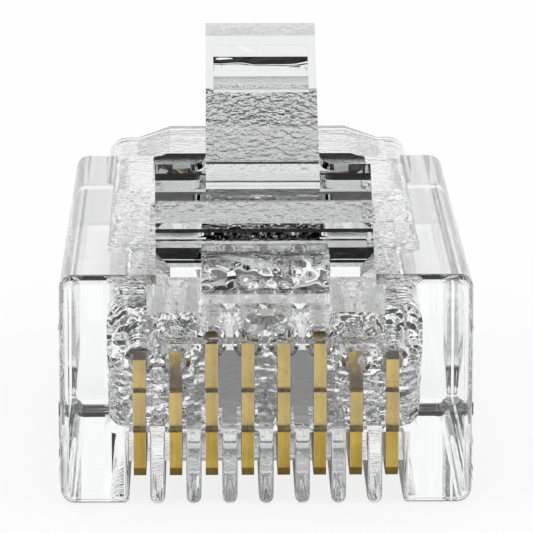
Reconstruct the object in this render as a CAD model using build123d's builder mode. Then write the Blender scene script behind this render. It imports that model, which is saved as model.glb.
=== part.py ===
from build123d import *
import os

os.makedirs("parts", exist_ok=True)

# Modular plug with eight positions and eight contacts, in millimetres.
# The nose faces -Y, the latch is on top, and the contact side lies on Z = 0.
# Depths run back from the nose face and heights run up from the contact side.

# Housing outside
body_width = 11.68
body_height = 6.6
body_length = 17.4
long_edge_radius = 0.4
nose_edge_radius = 0.25
rear_edge_radius = 0.35

# Side strips: below the mould's parting step the sides stand a hair prouder
strip_rise = 0.04
strip_inset = 0.3
strip_base = 0.4
strip_top = 5.0

# Narrow tail behind the full-width body, with a ridge along its top
tail_length = 4.1
tail_width = 9.7
tail_height = 6.02
tail_lift = 0.3
tail_corner_radius = 0.6
ridge_rise = 0.38
ridge_base_width = 7.8
ridge_top_width = 5.7

# Contact comb in the nose
contact_count = 8
contact_pitch = 1.02
rib_width = 0.42
rib_recess = 0.02
rib_edge_radius = 0.07
comb_height = 2.1
comb_length = 4.6
leg_edge_radius = 0.14
front_wall = 0.6

# Wire channels, each blind in front of its contact's first prong
channel_diameter = 0.86
channel_end_chamfer = 0.12
channel_roof = 0.45
outer_channel_drop = 0.5
raised_channels = 4
funnel_diameter = 0.98
funnel_length = 0.2

# Contact blades
contact_thickness = 0.355
contact_length = 3.4
contact_recess = 0.6
contact_nose_chamfer = 0.3
contact_heel_radius = 0.2
contact_plate_height = 2.55
prong_setback = 0.4
prong_width = 0.56
prong_slope = 0.18
prong_reach = 0.22
contact_clearance = 0.015

# Cable space behind the wire channels
cable_space_width = 9.1
cable_space_start = 5.6
floor_wall = 1.0
channel_sill = 0.39
ceiling_wall = 0.45
tail_roof = 0.7
mouth_chamfer = 0.12
cable_space_radius = 0.5

# Latch well in the top, with a shallow end that runs out to the tail
notch_width = 6.14
notch_length = 0.78
notch_depth = 1.94
well_width = 6.7
well_depth = 1.22
well_flat_end = 8.4
well_ramp_end = 12.0
well_shallow_depth = 0.42
gate_boss_radius = 0.62
gate_boss_crown = 0.2

# Latch with its root roll, ramp, locking shoulders and lever
root_width = 3.63
root_radius = 0.5
root_depth = 1.75
root_rise = 0.88
root_clearance = 0.04
root_seat_length = 1.1
root_seat_height = 0.5
ramp_start = 2.2
ramp_front_width = 5.4
ramp_corner_length = 0.8
ramp_width = 6.24
shoulder_width = 6.4
shoulder_depth = 8.08
ramp_start_top = 0.1
ramp_thickness = 0.29
wedge_end = 4.9
wedge_thickness = 0.65
block_start = 6.2
shoulder_top = 1.89
shoulder_thickness = 0.62
lever_width = 3.37
lever_run = 6.1
lever_rise = 3.2
lever_bow = 0.14
lever_root_radius = 0.45
lever_bend_start = 7.0
lever_bend_steepness = 0.21
lever_root_depth = 8.6
lever_root_thickness = 0.5
tip_thickness = 0.6
scoop_width = 2.9
scoop_centre = 13.15
scoop_radius = 1.5
scoop_depth = 0.1

# Cable clamp in its window
window_width = 5.2
window_front = 9.6
clamp_side_clearance = 0.1
clamp_front_clearance = 0.18
clamp_recess = 0.12
clamp_face_height = 0.62
clamp_ridge_height = 1.6
clamp_ridge_run = 0.5
clamp_hinge_depth = 13.6
clamp_hinge_height = 0.5
clamp_hinge_radius = 0.3
clamp_hinge_clearance = 0.04
clamp_neck = 0.2

# Length by which a cut runs past the surface that it opens
overcut = 1

# Places worked out from the sizes above
total_length = body_length + tail_length
upper_width = body_width - 2 * strip_rise
nose_y = -total_length / 2
well_floor = body_height - well_depth
root_height = well_floor + root_rise
comb_width = contact_count * contact_pitch - rib_width
channel_start = front_wall + prong_setback
raised_channel_height = well_floor - channel_roof - channel_diameter / 2
middle_sill_height = raised_channel_height - funnel_diameter / 2 - channel_sill
outer_sill_height = middle_sill_height - outer_channel_drop
side_plane = Plane(origin=(0, nose_y, 0), x_dir=(0, 1, 0), z_dir=(1, 0, 0))


def cross_plane(depth):
    """Plane across the plug at a depth behind the nose, with +X right and +Z up."""
    return Plane.XZ.offset(-(nose_y + depth))


def level_plane(height):
    """Plan view at a height, in which the second coordinate is the depth behind the nose."""
    return Plane(origin=(0, nose_y, height), x_dir=(1, 0, 0), z_dir=(0, 0, 1))


def channel_place(number):
    """Centre of a wire channel, as its distance from the middle and its height."""
    offset = (number - (contact_count + 1) / 2) * contact_pitch
    lowered = abs(offset) > raised_channels / 2 * contact_pitch
    return offset, raised_channel_height - (outer_channel_drop if lowered else 0)


# One wire channel, chamfered at its blind end and widened towards the cable space
with BuildPart() as wire_channel:
    with BuildSketch(side_plane):
        with BuildLine():
            channel_radius = channel_diameter / 2
            Polyline(
                (channel_start, 0),
                (cable_space_start + channel_radius, 0),
                (cable_space_start + channel_radius, funnel_diameter / 2),
                (cable_space_start, funnel_diameter / 2),
                (cable_space_start - funnel_length, channel_radius),
                (channel_start + channel_end_chamfer, channel_radius),
                (channel_start, channel_radius - channel_end_chamfer),
                close=True,
            )
        make_face()
    revolve(axis=Axis((0, 0, 0), (0, 1, 0)))

# Cable space: a throat that climbs at 45 degrees to a sill below the channels, higher in the middle
# where the channels are raised, and a ceiling that follows the well above it
with BuildPart() as cable_space:
    with BuildSketch(side_plane):
        ceiling_front = well_floor - ceiling_wall
        ceiling_rear = tail_lift + tail_height + ridge_rise - tail_roof
        Polygon(
            (cable_space_start, outer_sill_height),
            (cable_space_start + outer_sill_height - floor_wall, floor_wall),
            (total_length + overcut, floor_wall),
            (total_length + overcut, ceiling_rear),
            (body_length, ceiling_rear),
            (well_ramp_end, body_height - well_shallow_depth - ceiling_wall),
            (well_flat_end + ceiling_wall, ceiling_front),
            (cable_space_start, ceiling_front),
            align=None,
        )
    extrude(amount=cable_space_width / 2, both=True)
    side_edges = cable_space.edges().filter_by(
        lambda edge: abs(abs(edge.center().X) - cable_space_width / 2) < 0.001
        and edge.center().Y > nose_y + cable_space_start + 0.1
    )
    fillet(side_edges, cable_space_radius)
    with BuildSketch(side_plane):
        Polygon(
            (cable_space_start - overcut, middle_sill_height + overcut),
            (cable_space_start + middle_sill_height - floor_wall + overcut, floor_wall - overcut),
            (cable_space_start - overcut, floor_wall - overcut),
            align=None,
        )
    extrude(amount=raised_channels * contact_pitch / 2, both=True, mode=Mode.SUBTRACT)

# Rib of the comb, with a round lower edge and a rounded front outline, rooted in the body above it
with BuildPart() as comb_rib:
    with BuildSketch(cross_plane(0)):
        with Locations((0, rib_recess + rib_width / 2)):
            Circle(rib_width / 2)
            Rectangle(rib_width, comb_height, align=(Align.CENTER, Align.MIN))
    extrude(amount=-(comb_length + rib_width))
    front_outline = comb_rib.faces().sort_by(Axis.Y)[0].edges().filter_by(
        lambda edge: edge.center().Z < comb_height
    )
    fillet(front_outline, rib_edge_radius)

with BuildPart() as housing:
    # Full-width body and its rounded edges
    with BuildSketch(cross_plane(0)):
        with Locations((0, body_height / 2)):
            RectangleRounded(upper_width, body_height, long_edge_radius)
    extrude(amount=-body_length)
    fillet(housing.faces().sort_by(Axis.Y)[0].edges(), nose_edge_radius)
    fillet(housing.faces().sort_by(Axis.Y)[-1].edges(), rear_edge_radius)

    # Side strips below the parting step
    with BuildSketch(cross_plane(strip_inset)):
        with Locations((0, (strip_base + strip_top) / 2)):
            Rectangle(body_width, strip_top - strip_base)
    extrude(amount=-(body_length - strip_inset - rear_edge_radius))

    # Tail with its ridge, rooted in the body
    with BuildSketch(cross_plane(body_length - rear_edge_radius)):
        with Locations((0, tail_lift + tail_height / 2)):
            RectangleRounded(tail_width, tail_height, tail_corner_radius)
        tail_top = tail_lift + tail_height
        Polygon(
            (-ridge_base_width / 2, tail_top),
            (-ridge_top_width / 2, tail_top + ridge_rise),
            (ridge_top_width / 2, tail_top + ridge_rise),
            (ridge_base_width / 2, tail_top),
            align=None,
        )
    extrude(amount=-(tail_length + rear_edge_radius))

    # Latch well, open at the nose and climbing behind the latch to a shallow end at the tail
    with BuildSketch(side_plane):
        Polygon(
            (notch_length, well_floor),
            (well_flat_end, well_floor),
            (well_ramp_end, body_height - well_shallow_depth),
            (body_length - rear_edge_radius, body_height - well_shallow_depth),
            (body_length - rear_edge_radius, body_height + overcut),
            (notch_length, body_height + overcut),
            align=None,
        )
    extrude(amount=well_width / 2, both=True, mode=Mode.SUBTRACT)
    with BuildSketch(level_plane(body_height - notch_depth)):
        with Locations((0, (notch_length - overcut) / 2)):
            Rectangle(notch_width, notch_length + overcut)
    extrude(amount=notch_depth + overcut, mode=Mode.SUBTRACT)

    # Crowned stub of the moulding gate, in the middle of the notch
    with BuildSketch(side_plane):
        Polygon(
            (notch_length - gate_boss_radius, body_height - notch_depth),
            (notch_length - gate_boss_radius, well_floor - gate_boss_crown),
            (notch_length - gate_boss_radius + gate_boss_crown, well_floor),
            (notch_length, well_floor),
            (notch_length, body_height - notch_depth),
            align=None,
        )
    revolve(axis=Axis((0, nose_y + notch_length, 0), (0, 0, 1)))

    # Seat that carries the root roll of the latch
    with BuildSketch(side_plane):
        with Locations((root_depth, well_floor + (root_seat_height - ceiling_wall) / 2)):
            Rectangle(root_seat_length, root_seat_height + ceiling_wall)
        with Locations((root_depth, root_height)):
            Circle(root_radius + root_clearance, mode=Mode.SUBTRACT)
    extrude(amount=root_width / 2, both=True)

    # Cable space and wire channels
    add(cable_space.part, mode=Mode.SUBTRACT)
    for number in range(1, contact_count + 1):
        channel_x, channel_z = channel_place(number)
        with Locations((channel_x, 0, channel_z)):
            add(wire_channel.part, mode=Mode.SUBTRACT)

    # Comb that is open to the front and to the contact side, with a rib between each two slots
    with BuildSketch(cross_plane(0)):
        with Locations((0, (comb_height - overcut) / 2)):
            Rectangle(comb_width, comb_height + overcut)
    extrude(amount=-comb_length, mode=Mode.SUBTRACT)
    with GridLocations(contact_pitch, 0, contact_count - 1, 1):
        add(comb_rib.part)
    for number in range(1, contact_count + 1):
        channel_x, channel_z = channel_place(number)
        slot_end = front_wall + contact_length + 2 * contact_clearance
        slot_plate_top = contact_recess + contact_plate_height + contact_clearance
        with BuildSketch(side_plane.offset(channel_x)):
            Polygon(
                (front_wall, comb_height - overcut),
                (front_wall, slot_plate_top),
                (front_wall + prong_setback, slot_plate_top),
                (front_wall + prong_setback, channel_z),
                (slot_end, channel_z),
                (slot_end, comb_height - overcut),
                align=None,
            )
        extrude(amount=contact_thickness / 2 + contact_clearance, both=True, mode=Mode.SUBTRACT)

    # Window and hinge seat of the cable clamp
    with BuildSketch(side_plane):
        with Locations(((window_front + clamp_hinge_depth) / 2, floor_wall / 2)):
            Rectangle(clamp_hinge_depth - window_front, floor_wall + overcut)
        with Locations((clamp_hinge_depth, clamp_hinge_height)):
            Circle(clamp_hinge_radius + clamp_hinge_clearance)
    extrude(amount=window_width / 2, both=True, mode=Mode.SUBTRACT)

    # Lead-in at the cable mouth and rounded inner edges of the two legs beside the comb
    chamfer(housing.faces().sort_by(Axis.Y)[-1].inner_wires()[0].edges(), mouth_chamfer)
    leg_edges = housing.edges().filter_by(Axis.Y).filter_by(
        lambda edge: abs(abs(edge.center().X) - comb_width / 2) < 0.001 and edge.center().Z < 0.001
    )
    fillet(leg_edges, leg_edge_radius)
housing.part.label = "housing"
export_step(housing.part, "parts/housing.step")

# Latch: side profiles of ramp, shoulder blocks and lever, cut to one plan outline
ramp_top = root_height + ramp_start_top
ramp_steepness = (shoulder_top - ramp_start_top) / (shoulder_depth - ramp_start)
lever_top_start = (shoulder_depth, root_height + shoulder_top)
lever_top_end = (shoulder_depth + lever_run, root_height + shoulder_top + lever_rise)


def below_ramp_top(depth, thickness):
    """Point in the side view that lies a thickness below the ramp's top."""
    return depth, ramp_top + (depth - ramp_start) * ramp_steepness - thickness


with BuildPart() as latch_lever:
    # Ramp that thickens as a wedge behind its front edge and runs on as a thin plate
    with BuildSketch(side_plane):
        Polygon(
            below_ramp_top(ramp_start, 0),
            below_ramp_top(shoulder_depth, 0),
            below_ramp_top(shoulder_depth, ramp_thickness),
            below_ramp_top(wedge_end, ramp_thickness),
            below_ramp_top(wedge_end, wedge_thickness),
            below_ramp_top(ramp_start, ramp_thickness),
            align=None,
        )
    extrude(amount=shoulder_width / 2, both=True)
    # Shoulder blocks beside the lever
    with BuildSketch(side_plane.offset(lever_width / 2)):
        Polygon(
            below_ramp_top(block_start, 0),
            below_ramp_top(block_start, ramp_thickness),
            below_ramp_top(shoulder_depth, shoulder_thickness),
            below_ramp_top(shoulder_depth, 0),
            align=None,
        )
    extrude(amount=(shoulder_width - lever_width) / 2)
    mirror(about=Plane.YZ)
    # Lever, bent up out of the ramp
    with BuildSketch(side_plane):
        with BuildLine():
            top_bow = SagittaArc(lever_top_start, lever_top_end, -lever_bow)
            root_share = (lever_root_depth - shoulder_depth) / lever_run
            lever_root_low = top_bow.position_at(root_share) - Vector(0, lever_root_thickness)
            tip_low = (lever_top_end[0], lever_top_end[1] - tip_thickness)
            Line(lever_top_end, tip_low)
            SagittaArc(tip_low, lever_root_low, lever_bow)
            block_share = (lever_bend_start - block_start) / (shoulder_depth - block_start)
            bend_thickness = ramp_thickness + block_share * (shoulder_thickness - ramp_thickness)
            bend_start = below_ramp_top(lever_bend_start, bend_thickness)
            TangentArc(bend_start, lever_root_low, tangent=(1, lever_bend_steepness))
            Polyline(
                bend_start,
                below_ramp_top(block_start, ramp_thickness),
                below_ramp_top(block_start, 0),
                lever_top_start,
            )
        make_face()
    extrude(amount=lever_width / 2 + lever_root_radius, both=True)
    with BuildSketch(level_plane(0)):
        with BuildLine():
            Polyline(
                (0, ramp_start),
                (ramp_front_width / 2, ramp_start),
                (ramp_width / 2, ramp_start + ramp_corner_length),
                (shoulder_width / 2, shoulder_depth),
                (lever_width / 2 + lever_root_radius, shoulder_depth),
            )
            RadiusArc(
                (lever_width / 2 + lever_root_radius, shoulder_depth),
                (lever_width / 2, shoulder_depth + lever_root_radius),
                lever_root_radius,
            )
            Polyline(
                (lever_width / 2, shoulder_depth + lever_root_radius),
                (lever_width / 2, shoulder_depth + lever_run + overcut),
                (0, shoulder_depth + lever_run + overcut),
            )
            mirror(about=Plane.YZ)
        make_face()
    extrude(amount=lever_top_end[1] + overcut, mode=Mode.INTERSECT)
    # Shallow scoop across the underside of the lever
    with BuildSketch(side_plane):
        scoop_share = (scoop_centre - shoulder_depth) / lever_run
        scoop_drop = tip_thickness + scoop_radius - scoop_depth
        with Locations(top_bow.position_at(scoop_share) - Vector(0, scoop_drop)):
            Circle(scoop_radius)
    extrude(amount=scoop_width / 2, both=True, mode=Mode.SUBTRACT)
    # Root roll and the neck that joins it to the ramp
    with BuildSketch(side_plane):
        with Locations((root_depth, root_height)):
            Circle(root_radius)
        Polygon(
            (root_depth, root_height + root_radius),
            (root_depth, root_height - root_radius / 2),
            (ramp_start + ramp_corner_length, ramp_top),
            (ramp_start + 2 * ramp_corner_length, root_height + root_radius),
            align=None,
        )
    extrude(amount=root_width / 2, both=True)
latch_lever.part.label = "latch_lever"
export_step(latch_lever.part, "parts/latch_lever.step")

# Cable clamp: a wedge on a round film hinge, flat on the outside and ridged on the inside
with BuildPart() as cable_clamp:
    with BuildSketch(side_plane):
        clamp_front = window_front + clamp_front_clearance
        Polygon(
            (clamp_front, clamp_recess),
            (clamp_front, clamp_recess + clamp_face_height),
            (clamp_front + clamp_ridge_run, clamp_ridge_height),
            (clamp_hinge_depth, clamp_hinge_height + clamp_neck),
            (clamp_hinge_depth, clamp_hinge_height - clamp_neck),
            (clamp_hinge_depth - clamp_hinge_radius, clamp_recess),
            align=None,
        )
        with Locations((clamp_hinge_depth, clamp_hinge_height)):
            Circle(clamp_hinge_radius)
    extrude(amount=window_width / 2 - clamp_side_clearance, both=True)
cable_clamp.part.label = "cable_clamp"
export_step(cable_clamp.part, "parts/cable_clamp.step")


def contact_prongs(number):
    """Distances from the blade's front to its prongs: the blades next to the outer ones have two."""
    last = contact_length - prong_width
    middle = (prong_setback + last) / 2
    if number in (2, contact_count - 1):
        return [middle, last]
    return [prong_setback, middle, last]


# Contact blades, each pressed up until its prongs stand in its wire channel
for number in range(1, contact_count + 1):
    channel_x, channel_z = channel_place(number)
    front = front_wall + contact_clearance
    plate_top = contact_recess + contact_plate_height
    prong_top = channel_z + prong_reach
    with BuildPart() as contact:
        with BuildSketch(side_plane.offset(channel_x)) as blade:
            with Locations((front, contact_recess)):
                Rectangle(contact_length, contact_plate_height, align=(Align.MIN, Align.MIN))
            low_corners = blade.vertices().group_by(Axis.Y)[0].sort_by(Axis.X)
            chamfer(low_corners[0], contact_nose_chamfer)
            fillet(low_corners[-1], contact_heel_radius)
            for start in contact_prongs(number):
                Polygon(
                    (front + start, plate_top - contact_heel_radius),
                    (front + start, prong_top - prong_slope),
                    (front + start + prong_width / 2, prong_top),
                    (front + start + prong_width, prong_top - prong_slope),
                    (front + start + prong_width, plate_top - contact_heel_radius),
                    align=None,
                )
        extrude(amount=contact_thickness / 2, both=True)
    contact.part.label = f"contact_{number}"
    export_step(contact.part, f"parts/contact_{number}.step")
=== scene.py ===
import math
import bpy
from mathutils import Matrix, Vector


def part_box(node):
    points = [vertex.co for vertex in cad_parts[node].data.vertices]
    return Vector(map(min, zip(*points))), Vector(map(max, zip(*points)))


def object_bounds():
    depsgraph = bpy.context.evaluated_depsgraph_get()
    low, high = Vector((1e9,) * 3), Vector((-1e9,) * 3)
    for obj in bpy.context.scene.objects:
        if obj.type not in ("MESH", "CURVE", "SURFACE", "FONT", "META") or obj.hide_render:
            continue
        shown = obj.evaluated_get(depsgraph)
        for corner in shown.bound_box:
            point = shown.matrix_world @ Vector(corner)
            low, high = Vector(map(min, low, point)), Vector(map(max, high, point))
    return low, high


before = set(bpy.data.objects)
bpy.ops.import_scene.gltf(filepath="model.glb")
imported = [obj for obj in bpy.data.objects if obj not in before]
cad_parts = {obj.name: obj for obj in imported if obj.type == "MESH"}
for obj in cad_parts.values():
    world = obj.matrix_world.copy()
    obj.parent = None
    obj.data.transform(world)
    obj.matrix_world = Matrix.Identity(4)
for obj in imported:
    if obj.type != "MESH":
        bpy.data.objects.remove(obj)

cad_low, cad_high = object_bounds()

# Housing: one clear polycarbonate moulding with its comb of slots, wire channels, latch well and
# cable space. Its outside copies a polished mould, the cable space the eroded core that forms it, and
# the sill in front of it the rough hand-ground end of that core.
MM = 0.001
housing_low, housing_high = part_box("housing")
nose_y = housing_low.y
polycarbonate_ior = 1.585
clear_tint = (0.995, 0.998, 0.998)
hazy_tint = (0.975, 0.982, 0.984)
haze_length = 3 * MM
scratch_width = 0.025 * MM
scratch_length = 1.2 * MM
scratch_threshold = 0.58
scratch_roughness = 0.35
scuffed_edge = 0.7 * MM
any_facing = -1.1
wave_length = 2.2 * MM
wave_height = 0.0015 * MM
grain_length = 0.3 * MM
grain_height = 0.06 * MM
lump_length = 0.45 * MM
lump_height = 1.3 * MM
channel_lump_length = 0.7 * MM
channel_lump_height = 0.12 * MM
cable_space_front = nose_y + 5.5 * MM
cable_space_half_width = 4.62 * MM
cable_space_floor = 0.95 * MM
cable_space_ceiling = 6.05 * MM
cable_space_end = housing_high.y - 0.2 * MM
sill_start = cable_space_floor + 0.1 * MM
sill_top = 4.9 * MM
sill_end = nose_y + 8.3 * MM
smooth_sill_half_width = 1.4 * MM
lumpy_core_half_width = 0.6 * MM
shelf_lump_height = 1.1 * MM
shelf_inner = 3.05 * MM
shelf_end = nose_y + 12.5 * MM
shelf_top = 5.9 * MM
channels_half_width = 4.1 * MM
channels_start = nose_y + 0.9 * MM
channels_floor = 3.4 * MM
channels_top = 5.2 * MM


def math_node(tree, operation, first, second=0.0):
    """Math node on two values or sockets, giving its output socket."""
    node = tree.nodes.new("ShaderNodeMath")
    node.operation = operation
    for socket, value in zip(node.inputs, (first, second)):
        if isinstance(value, (int, float)):
            socket.default_value = value
        else:
            tree.links.new(value, socket)
    return node.outputs["Value"]


def add_inputs(tree, kind, names):
    """Named inputs of one kind on a node group."""
    for name in names:
        tree.interface.new_socket(name, in_out="INPUT", socket_type=kind)


def block_marks_group():
    """Height in metres of noise inside one block of space. It marks the faces whose normal points down by
    more than Facing, and leaves a strip along Y free that is as wide to each side as Clear Middle."""
    tree = bpy.data.node_groups.new("block_marks", "ShaderNodeTree")
    add_inputs(tree, "NodeSocketFloat", ("Length", "Height", "Detail", "Facing", "Clear Middle", "Down"))
    add_inputs(tree, "NodeSocketVector", ("Low", "High"))
    tree.interface.new_socket("Height", in_out="OUTPUT", socket_type="NodeSocketFloat")
    given = tree.nodes.new("NodeGroupInput")
    result = tree.nodes.new("NodeGroupOutput")
    place = tree.nodes.new("ShaderNodeTexCoord")
    texture = tree.nodes.new("ShaderNodeTexNoise")
    tree.links.new(place.outputs["Object"], texture.inputs["Vector"])
    tree.links.new(math_node(tree, "DIVIDE", 1.0, given.outputs["Length"]), texture.inputs["Scale"])
    tree.links.new(given.outputs["Detail"], texture.inputs["Detail"])
    parts = {}
    for name, source in (
        ("spot", place.outputs["Object"]),
        ("low", given.outputs["Low"]),
        ("high", given.outputs["High"]),
    ):
        parts[name] = tree.nodes.new("ShaderNodeSeparateXYZ").outputs
        tree.links.new(source, parts[name]["X"].node.inputs["Vector"])
    share = math_node(tree, "GREATER_THAN", given.outputs["Down"], given.outputs["Facing"])
    from_middle = math_node(tree, "ABSOLUTE", parts["spot"]["X"])
    beside = math_node(tree, "GREATER_THAN", from_middle, given.outputs["Clear Middle"])
    share = math_node(tree, "MULTIPLY", share, beside)
    for axis in "XYZ":
        above = math_node(tree, "GREATER_THAN", parts["spot"][axis], parts["low"][axis])
        below = math_node(tree, "LESS_THAN", parts["spot"][axis], parts["high"][axis])
        share = math_node(tree, "MULTIPLY", share, math_node(tree, "MULTIPLY", above, below))
    height = math_node(tree, "MULTIPLY", texture.outputs["Fac"], given.outputs["Height"])
    tree.links.new(math_node(tree, "MULTIPLY", height, share), result.inputs["Height"])
    return tree


block_marks = block_marks_group()
mark_row = ("Length", "Height", "Detail", "Facing", "Clear Middle", "Low", "High")
everywhere = ((-1, -1, -1), (1, 1, 1))


def handling_marks_group():
    """Haze from 0 to 1 in clouds through the plastic, and Scuff from 0 to 1 for fine scratches along Y
    within Reach of the long edges of a box."""
    tree = bpy.data.node_groups.new("handling_marks", "ShaderNodeTree")
    add_inputs(tree, "NodeSocketFloat", ("Haze Length", "Scratch Width", "Scratch Length", "Reach"))
    add_inputs(tree, "NodeSocketVector", ("Low", "High"))
    for name in ("Haze", "Scuff"):
        tree.interface.new_socket(name, in_out="OUTPUT", socket_type="NodeSocketFloat")
    given = tree.nodes.new("NodeGroupInput").outputs
    result = tree.nodes.new("NodeGroupOutput").inputs
    place = tree.nodes.new("ShaderNodeTexCoord").outputs["Object"]
    parts = {}
    for name, source in (("spot", place), ("low", given["Low"]), ("high", given["High"])):
        split = tree.nodes.new("ShaderNodeSeparateXYZ")
        tree.links.new(source, split.inputs["Vector"])
        parts[name] = split.outputs
    cloud = tree.nodes.new("ShaderNodeTexNoise")
    cloud.inputs["Detail"].default_value = 3.0
    tree.links.new(place, cloud.inputs["Vector"])
    tree.links.new(math_node(tree, "DIVIDE", 1.0, given["Haze Length"]), cloud.inputs["Scale"])
    tree.links.new(cloud.outputs["Fac"], result["Haze"])
    stretched = tree.nodes.new("ShaderNodeCombineXYZ")
    for axis, length in (("X", "Scratch Width"), ("Y", "Scratch Length"), ("Z", "Scratch Width")):
        share = math_node(tree, "DIVIDE", parts["spot"][axis], given[length])
        tree.links.new(share, stretched.inputs[axis])
    scratch = tree.nodes.new("ShaderNodeTexNoise")
    scratch.inputs["Scale"].default_value = 1.0
    tree.links.new(stretched.outputs["Vector"], scratch.inputs["Vector"])
    scratched = math_node(tree, "GREATER_THAN", scratch.outputs["Fac"], scratch_threshold)
    near = 1.0
    for axis in "XZ":
        from_low = math_node(tree, "SUBTRACT", parts["spot"][axis], parts["low"][axis])
        from_high = math_node(tree, "SUBTRACT", parts["high"][axis], parts["spot"][axis])
        inward = math_node(tree, "DIVIDE", math_node(tree, "MINIMUM", from_low, from_high), given["Reach"])
        close = math_node(tree, "MAXIMUM", math_node(tree, "SUBTRACT", 1.0, inward), 0.0)
        near = math_node(tree, "MULTIPLY", close, near)
    tree.links.new(math_node(tree, "MULTIPLY", scratched, near), result["Scuff"])
    return tree


handling_marks = handling_marks_group()


def downward_part(tree):
    """How far the outward side of a face points down, also where it is seen from inside the plastic."""
    geometry = tree.nodes.new("ShaderNodeNewGeometry")
    split = tree.nodes.new("ShaderNodeSeparateXYZ")
    tree.links.new(geometry.outputs["True Normal"], split.inputs["Vector"])
    turned = math_node(tree, "MULTIPLY", geometry.outputs["Backfacing"], 2.0)
    return math_node(tree, "MULTIPLY", split.outputs["Z"], math_node(tree, "SUBTRACT", turned, 1.0))


def clear_moulding(name, node, marks):
    """Clear polycarbonate for a CAD node, hazy in places and scratched along its edges. The marks of the
    mould are rows of length, height, detail, facing, clear middle, and a block's low and high corner."""
    material = bpy.data.materials.new(name)
    material.use_nodes = True
    tree = material.node_tree
    shader = tree.nodes["Principled BSDF"]
    handled = tree.nodes.new("ShaderNodeGroup")
    handled.node_tree = handling_marks
    low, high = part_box(node)
    for socket, value in {
        "Haze Length": haze_length,
        "Scratch Width": scratch_width,
        "Scratch Length": scratch_length,
        "Reach": scuffed_edge,
        "Low": low,
        "High": high,
    }.items():
        handled.inputs[socket].default_value = value
    tint = tree.nodes.new("ShaderNodeMixRGB")
    tint.inputs["Color1"].default_value = (*clear_tint, 1)
    tint.inputs["Color2"].default_value = (*hazy_tint, 1)
    tree.links.new(handled.outputs["Haze"], tint.inputs["Fac"])
    tree.links.new(tint.outputs["Color"], shader.inputs["Base Color"])
    scuff_roughness = math_node(tree, "MULTIPLY", handled.outputs["Scuff"], scratch_roughness)
    tree.links.new(scuff_roughness, shader.inputs["Roughness"])
    shader.inputs["IOR"].default_value = polycarbonate_ior
    shader.inputs["Transmission Weight"].default_value = 1.0
    height = 0.0
    down = downward_part(tree)
    for row in marks:
        group = tree.nodes.new("ShaderNodeGroup")
        group.node_tree = block_marks
        for socket, value in zip(mark_row, row):
            group.inputs[socket].default_value = value
        tree.links.new(down, group.inputs["Down"])
        height = math_node(tree, "ADD", group.outputs["Height"], height)
    bump = tree.nodes.new("ShaderNodeBump")
    bump.inputs["Distance"].default_value = 1.0
    tree.links.new(height, bump.inputs["Height"])
    tree.links.new(bump.outputs["Normal"], shader.inputs["Normal"])
    return material


def finish_node(node, material):
    """Gives a CAD node its material in every slot."""
    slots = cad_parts[node].data.materials
    slots.clear()
    slots.append(material)


flow_waves = (wave_length, wave_height, 2.0, any_facing, 0.0, *everywhere)
finish_node("housing", clear_moulding("clear_housing", "housing", [
    flow_waves,
    (
        grain_length, grain_height, 3.0, any_facing, 0.0,
        (-cable_space_half_width, cable_space_front, cable_space_floor),
        (cable_space_half_width, cable_space_end, cable_space_ceiling),
    ),
    (
        lump_length, lump_height, 1.0, any_facing, smooth_sill_half_width,
        (-cable_space_half_width, cable_space_front, sill_start),
        (cable_space_half_width, sill_end, sill_top),
    ),
    (
        lump_length, lump_height, 1.0, any_facing, 0.0,
        (-lumpy_core_half_width, cable_space_front, sill_start),
        (lumpy_core_half_width, sill_end, sill_top),
    ),
    (
        lump_length, shelf_lump_height, 1.0, any_facing, shelf_inner,
        (-cable_space_half_width, cable_space_front, sill_top),
        (cable_space_half_width, shelf_end, shelf_top),
    ),
    (
        channel_lump_length, channel_lump_height, 1.0, any_facing, 0.0,
        (-channels_half_width, channels_start, channels_floor),
        (channels_half_width, cable_space_front, channels_top),
    ),
]))

# Latch: the same clear moulding, a tapering ramp with two locking shoulders and a curved lever that
# a thumb presses. The lever's underside carries the texture of an eroded mould insert, coarser towards
# the tip, and the bend at the root is lumpy where the plastic cooled last.
latch_low, latch_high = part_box("latch_lever")
underside_facing = 0.5
lever_low = 7.5 * MM
lever_grain_length = 0.2 * MM
lever_grain_height = 0.13 * MM
lever_grain_start = nose_y + 8.7 * MM
lever_pit_length = 0.2 * MM
lever_pit_height = 0.34 * MM
lever_pit_start = nose_y + 10.3 * MM
lever_pit_end = nose_y + 12.0 * MM
scoop_facet_length = 0.9 * MM
scoop_facet_height = 0.3 * MM
scoop_half_width = 1.45 * MM
scoop_start = nose_y + 12.5 * MM
scoop_end = nose_y + 13.8 * MM
roll_lump_length = 0.9 * MM
roll_lump_height = 0.9 * MM
roll_half_width = 1.8 * MM
roll_end = nose_y + 2.5 * MM
roll_low = 5.5 * MM
roll_top = 7.0 * MM
finish_node("latch_lever", clear_moulding("clear_latch", "latch_lever", [
    flow_waves,
    (
        lever_grain_length, lever_grain_height, 3.0, underside_facing, 0.0,
        (latch_low.x, lever_grain_start, lever_low),
        (latch_high.x, lever_pit_start, latch_high.z),
    ),
    (
        lever_pit_length, lever_pit_height, 2.0, underside_facing, 0.0,
        (latch_low.x, lever_pit_start, lever_low),
        (latch_high.x, lever_pit_end, latch_high.z),
    ),
    (
        scoop_facet_length, scoop_facet_height, 0.0, underside_facing, 0.0,
        (-scoop_half_width, scoop_start, lever_low),
        (scoop_half_width, scoop_end, latch_high.z),
    ),
    (
        roll_lump_length, roll_lump_height, 1.0, any_facing, 0.0,
        (-roll_half_width, latch_low.y, roll_low),
        (roll_half_width, roll_end, roll_top),
    ),
]))

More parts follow.
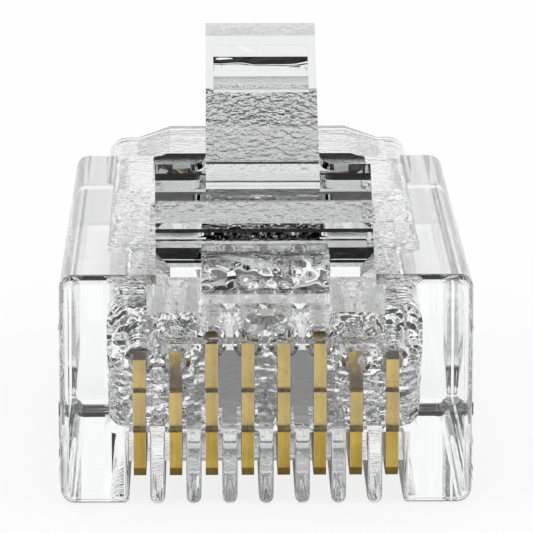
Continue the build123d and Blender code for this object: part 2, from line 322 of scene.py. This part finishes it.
# Cable clamp: a wedge of the same clear moulding on a thin web, pushed in on the cable jacket when
# the plug is crimped. Its underside was polished with the contact side, and the face towards the
# cable carries the grain of the eroded core.
clamp_low, clamp_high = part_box("cable_clamp")
clamp_grain_start = clamp_high.z - 0.8 * MM
above_all = 1.0
finish_node("cable_clamp", clear_moulding("clear_clamp", "cable_clamp", [
    flow_waves,
    (
        grain_length, grain_height, 3.0, any_facing, 0.0,
        (clamp_low.x, clamp_low.y, clamp_grain_start),
        (clamp_high.x, clamp_high.y, above_all),
    ),
]))

# Contacts: blades stamped from phosphor bronze strip and plated with gold over nickel, pressed into
# the housing's slots. Sheared edges are streaked across a smooth and a torn part, the plating is
# cloudy, and at the corners the tumbling has worn it thin.
gold_colour = (0.66, 0.475, 0.11)
dull_gold_colour = (0.54, 0.375, 0.075)
nickel_colour = (0.60, 0.56, 0.46)
blade_pitch = 1.02 * MM
blade_low, blade_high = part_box("contact_1")
blade_half_width = (blade_high.x - blade_low.x) / 2
cloud_length = 0.9 * MM
cloud_start = 0.4
cloud_contrast = 5.0
streak_width = 0.03 * MM
streak_length = 0.6 * MM
streak_height = 0.012 * MM
worn_edge = 0.05 * MM
torn_wander = 0.1 * MM
flat_side_facing = 0.9
smooth_roughness = 0.2
torn_roughness = 0.36
smooth_streak_share = 0.6


def plated_blade_group():
    """Marks of blades that stand side by side at Pitch along X: Cloud and Streak from 0 to 1, Torn for
    the torn part of a sheared edge, and Worn for the plating within Edge of a blade's corners."""
    tree = bpy.data.node_groups.new("plated_blade", "ShaderNodeTree")
    add_inputs(tree, "NodeSocketFloat", (
        "Pitch", "Half Width", "Edge", "Cloud Length", "Streak Width", "Streak Length",
    ))
    for name in ("Cloud", "Streak", "Torn", "Worn"):
        tree.interface.new_socket(name, in_out="OUTPUT", socket_type="NodeSocketFloat")
    given = tree.nodes.new("NodeGroupInput").outputs
    result = tree.nodes.new("NodeGroupOutput").inputs
    place = tree.nodes.new("ShaderNodeTexCoord").outputs["Object"]
    split = tree.nodes.new("ShaderNodeSeparateXYZ")
    tree.links.new(place, split.inputs["Vector"])
    pitches = math_node(tree, "DIVIDE", split.outputs["X"], given["Pitch"])
    across = math_node(tree, "SUBTRACT", math_node(tree, "FRACT", pitches), 0.5)
    across = math_node(tree, "MULTIPLY", across, given["Pitch"])
    from_edge = math_node(tree, "SUBTRACT", given["Half Width"], math_node(tree, "ABSOLUTE", across))

    cloud = tree.nodes.new("ShaderNodeTexNoise")
    tree.links.new(place, cloud.inputs["Vector"])
    tree.links.new(math_node(tree, "DIVIDE", 1.0, given["Cloud Length"]), cloud.inputs["Scale"])
    cloud.inputs["Detail"].default_value = 4.0
    dense = math_node(tree, "SUBTRACT", cloud.outputs["Fac"], cloud_start)
    dense = math_node(tree, "MAXIMUM", math_node(tree, "MULTIPLY", dense, cloud_contrast), 0.0)
    tree.links.new(math_node(tree, "MINIMUM", dense, 1.0), result["Cloud"])

    stretched = tree.nodes.new("ShaderNodeCombineXYZ")
    for axis, length in (("X", "Streak Width"), ("Y", "Streak Width"), ("Z", "Streak Length")):
        tree.links.new(math_node(tree, "DIVIDE", split.outputs[axis], given[length]), stretched.inputs[axis])
    streak = tree.nodes.new("ShaderNodeTexNoise")
    streak.inputs["Scale"].default_value = 1.0
    streak.inputs["Detail"].default_value = 2.0
    tree.links.new(stretched.outputs["Vector"], streak.inputs["Vector"])
    tree.links.new(streak.outputs["Fac"], result["Streak"])

    uneven = math_node(tree, "SUBTRACT", cloud.outputs["Fac"], 0.5)
    ragged = math_node(tree, "MULTIPLY", uneven, torn_wander)
    tree.links.new(math_node(tree, "GREATER_THAN", across, ragged), result["Torn"])
    reach = math_node(tree, "MULTIPLY", cloud.outputs["Fac"], given["Edge"])
    worn = math_node(tree, "SUBTRACT", 1.0, math_node(tree, "DIVIDE", from_edge, reach))
    turned = tree.nodes.new("ShaderNodeSeparateXYZ")
    tree.links.new(tree.nodes.new("ShaderNodeNewGeometry").outputs["True Normal"], turned.inputs["Vector"])
    sideways = math_node(tree, "ABSOLUTE", turned.outputs["X"])
    cut_face = math_node(tree, "LESS_THAN", sideways, flat_side_facing)
    worn = math_node(tree, "MULTIPLY", math_node(tree, "MAXIMUM", worn, 0.0), cut_face)
    tree.links.new(worn, result["Worn"])
    return tree


gold = bpy.data.materials.new("gold_contact")
gold.use_nodes = True
gold_tree = gold.node_tree
gold_shader = gold_tree.nodes["Principled BSDF"]
gold_shader.inputs["Metallic"].default_value = 1.0
blade_marks = gold_tree.nodes.new("ShaderNodeGroup")
blade_marks.node_tree = plated_blade_group()
for socket, value in {
    "Pitch": blade_pitch,
    "Half Width": blade_half_width,
    "Edge": worn_edge,
    "Cloud Length": cloud_length,
    "Streak Width": streak_width,
    "Streak Length": streak_length,
}.items():
    blade_marks.inputs[socket].default_value = value
dulled = gold_tree.nodes.new("ShaderNodeMixRGB")
dulled.inputs["Color1"].default_value = (*gold_colour, 1)
dulled.inputs["Color2"].default_value = (*dull_gold_colour, 1)
gold_tree.links.new(blade_marks.outputs["Cloud"], dulled.inputs["Fac"])
worn_through = gold_tree.nodes.new("ShaderNodeMixRGB")
worn_through.inputs["Color2"].default_value = (*nickel_colour, 1)
gold_tree.links.new(blade_marks.outputs["Worn"], worn_through.inputs["Fac"])
gold_tree.links.new(dulled.outputs["Color"], worn_through.inputs["Color1"])
gold_tree.links.new(worn_through.outputs["Color"], gold_shader.inputs["Base Color"])
roughness = gold_tree.nodes.new("ShaderNodeMapRange")
roughness.inputs["To Min"].default_value = smooth_roughness
roughness.inputs["To Max"].default_value = torn_roughness
streaked = math_node(gold_tree, "ADD", blade_marks.outputs["Torn"], smooth_streak_share)
streaked = math_node(gold_tree, "MULTIPLY", blade_marks.outputs["Streak"], streaked)
gold_tree.links.new(streaked, roughness.inputs["Value"])
gold_tree.links.new(roughness.outputs["Result"], gold_shader.inputs["Roughness"])
gold_bump = gold_tree.nodes.new("ShaderNodeBump")
gold_bump.inputs["Distance"].default_value = 1.0
streak_relief = math_node(gold_tree, "MULTIPLY", blade_marks.outputs["Streak"], streak_height)
gold_tree.links.new(streak_relief, gold_bump.inputs["Height"])
gold_tree.links.new(gold_bump.outputs["Normal"], gold_shader.inputs["Normal"])
for number in range(1, 9):
    finish_node(f"contact_{number}", gold)

# Studio: a white table under white soft light, with a painted shadow on the table under the plug that only
# glass shows, and dark flags that only gloss and glass show, so that the clear edges stand out.
scene = bpy.context.scene
scene.view_settings.view_transform = "Standard"
scene.cycles.max_bounces = 14
scene.cycles.transmission_bounces = 14
scene.cycles.glossy_bounces = 12
table_size = 0.8
table_drop = 0.02 * MM
table_white = 0.95
table_roughness = 0.9
table_glow = 0.1
table_glow_to_camera = 0.85
# Painted shadow under the front of the plug, seen only through glass: the glow there, the glow beside it,
# and the patch's place, length and core.
painted_shadow_glow = 0.16
table_glow_beside = 0.85
painted_shadow_y = -6.8 * MM
painted_shadow_half_length = 8 * MM
painted_shadow_core = 0.45
sky_white = 1.0
flag_dark = 0.02
over_height = 60 * MM
over_size = 340 * MM
low_distance = 80 * MM
low_bottom = cad_high.z
front_top = 32 * MM
side_top = 26 * MM


world = bpy.data.worlds.new("studio")
scene.world = world
world.use_nodes = True
sky = world.node_tree.nodes["Background"]
sky.inputs["Color"].default_value = (1, 1, 1, 1)
sky.inputs["Strength"].default_value = sky_white


def card(name, centre, right, up, width, height):
    """Flat rectangle round a centre, along two directions."""
    right, up = Vector(right).normalized() * width / 2, Vector(up).normalized() * height / 2
    corners = [Vector(centre) + right * a + up * b for a, b in ((-1, -1), (1, -1), (1, 1), (-1, 1))]
    mesh = bpy.data.meshes.new(name)
    mesh.from_pydata([tuple(corner) for corner in corners], [], [(0, 1, 2, 3)])
    piece = bpy.data.objects.new(name, mesh)
    scene.collection.objects.link(piece)
    return piece


def table_with_painted_shadow():
    """White table top. The camera sees it nearly white, with a faint shadow of the plug. Through glass it
    is white too, with a painted shadow: its glow fades by position to a dark patch under the front of the
    plug."""
    material = bpy.data.materials.new("white_table_painted_shadow")
    material.use_nodes = True
    tree = material.node_tree
    shader = tree.nodes["Principled BSDF"]
    shader.inputs["Base Color"].default_value = (table_white, table_white, table_white, 1)
    shader.inputs["Roughness"].default_value = table_roughness
    shader.inputs["Specular IOR Level"].default_value = 0.0
    glow = tree.nodes.new("ShaderNodeEmission")
    blend = tree.nodes.new("ShaderNodeMixShader")
    path = tree.nodes.new("ShaderNodeLightPath")
    place = tree.nodes.new("ShaderNodeTexCoord")
    spot = tree.nodes.new("ShaderNodeSeparateXYZ")
    tree.links.new(place.outputs["Object"], spot.inputs["Vector"])
    # Painted shadow: the glow that glass sees fades by position to a dark patch under the front of the plug.
    across = math_node(tree, "DIVIDE", math_node(tree, "ABSOLUTE", spot.outputs["X"]), housing_high.x)
    from_painted_shadow = math_node(tree, "ABSOLUTE", math_node(tree, "SUBTRACT", spot.outputs["Y"], painted_shadow_y))
    along = math_node(tree, "DIVIDE", from_painted_shadow, painted_shadow_half_length)
    painted_shadow_fade = tree.nodes.new("ShaderNodeMapRange")
    painted_shadow_fade.interpolation_type = "SMOOTHSTEP"
    painted_shadow_fade.inputs["From Min"].default_value = painted_shadow_core
    painted_shadow_fade.inputs["From Max"].default_value = 1.0
    painted_shadow_fade.inputs["To Min"].default_value = painted_shadow_glow
    painted_shadow_fade.inputs["To Max"].default_value = table_glow_beside
    tree.links.new(math_node(tree, "MAXIMUM", across, along), painted_shadow_fade.inputs["Value"])
    to_camera = math_node(tree, "MULTIPLY", path.outputs["Is Camera Ray"], table_glow_to_camera)
    to_glass = math_node(tree, "MULTIPLY", path.outputs["Is Transmission Ray"], painted_shadow_fade.outputs["Result"])
    share = math_node(tree, "MAXIMUM", math_node(tree, "MAXIMUM", to_camera, to_glass), table_glow)
    tree.links.new(share, blend.inputs["Fac"])
    tree.links.new(shader.outputs["BSDF"], blend.inputs[1])
    tree.links.new(glow.outputs["Emission"], blend.inputs[2])
    tree.links.new(blend.outputs["Shader"], tree.nodes["Material Output"].inputs["Surface"])
    return material


table = card("table", (0, 0, -table_drop), (1, 0, 0), (0, 1, 0), table_size, table_size)
table.data.materials.append(table_with_painted_shadow())

flag_black = bpy.data.materials.new("flag_black")
flag_black.use_nodes = True
flag_shader = flag_black.node_tree.nodes["Principled BSDF"]
flag_shader.inputs["Base Color"].default_value = (flag_dark, flag_dark, flag_dark, 1)
flag_shader.inputs["Specular IOR Level"].default_value = 0.0
low_places = [(0, -1, front_top), (1, 0, side_top), (-1, 0, side_top)]
flags = [card("flag_over", (0, 0, over_height), (1, 0, 0), (0, 1, 0), over_size, over_size)]
for number, (x, y, top) in enumerate(low_places, 1):
    centre = (x * low_distance, y * low_distance, (low_bottom + top) / 2)
    width, height = 2 * low_distance, top - low_bottom
    flags.append(card(f"flag_low_{number}", centre, (-y, x, 0), (0, 0, 1), width, height))
for flag in flags:
    flag.data.materials.append(flag_black)
    flag.visible_camera = False
    flag.visible_diffuse = False
    flag.visible_shadow = False

# Camera: close in front of the nose, a little above and to the left of it, so that the lines along
# the plug draw together. It is upright, with only a slight turn towards the middle.
camera_left = 1.56 * MM
camera_distance = 115 * MM
camera_height = 33.2 * MM
camera_lens = 286.0
camera_yaw = math.radians(0.78)
camera_pitch = math.radians(-12.89)
camera_data = bpy.data.cameras.new("camera")
camera_data.sensor_width = 36
camera_data.lens = camera_lens
camera_data.clip_start = 0.01
camera = bpy.data.objects.new("camera", camera_data)
scene.collection.objects.link(camera)
camera.location = (-camera_left, nose_y - camera_distance, camera_height)
camera.rotation_euler = (math.pi / 2 + camera_pitch, 0, -camera_yaw)
scene.camera = camera
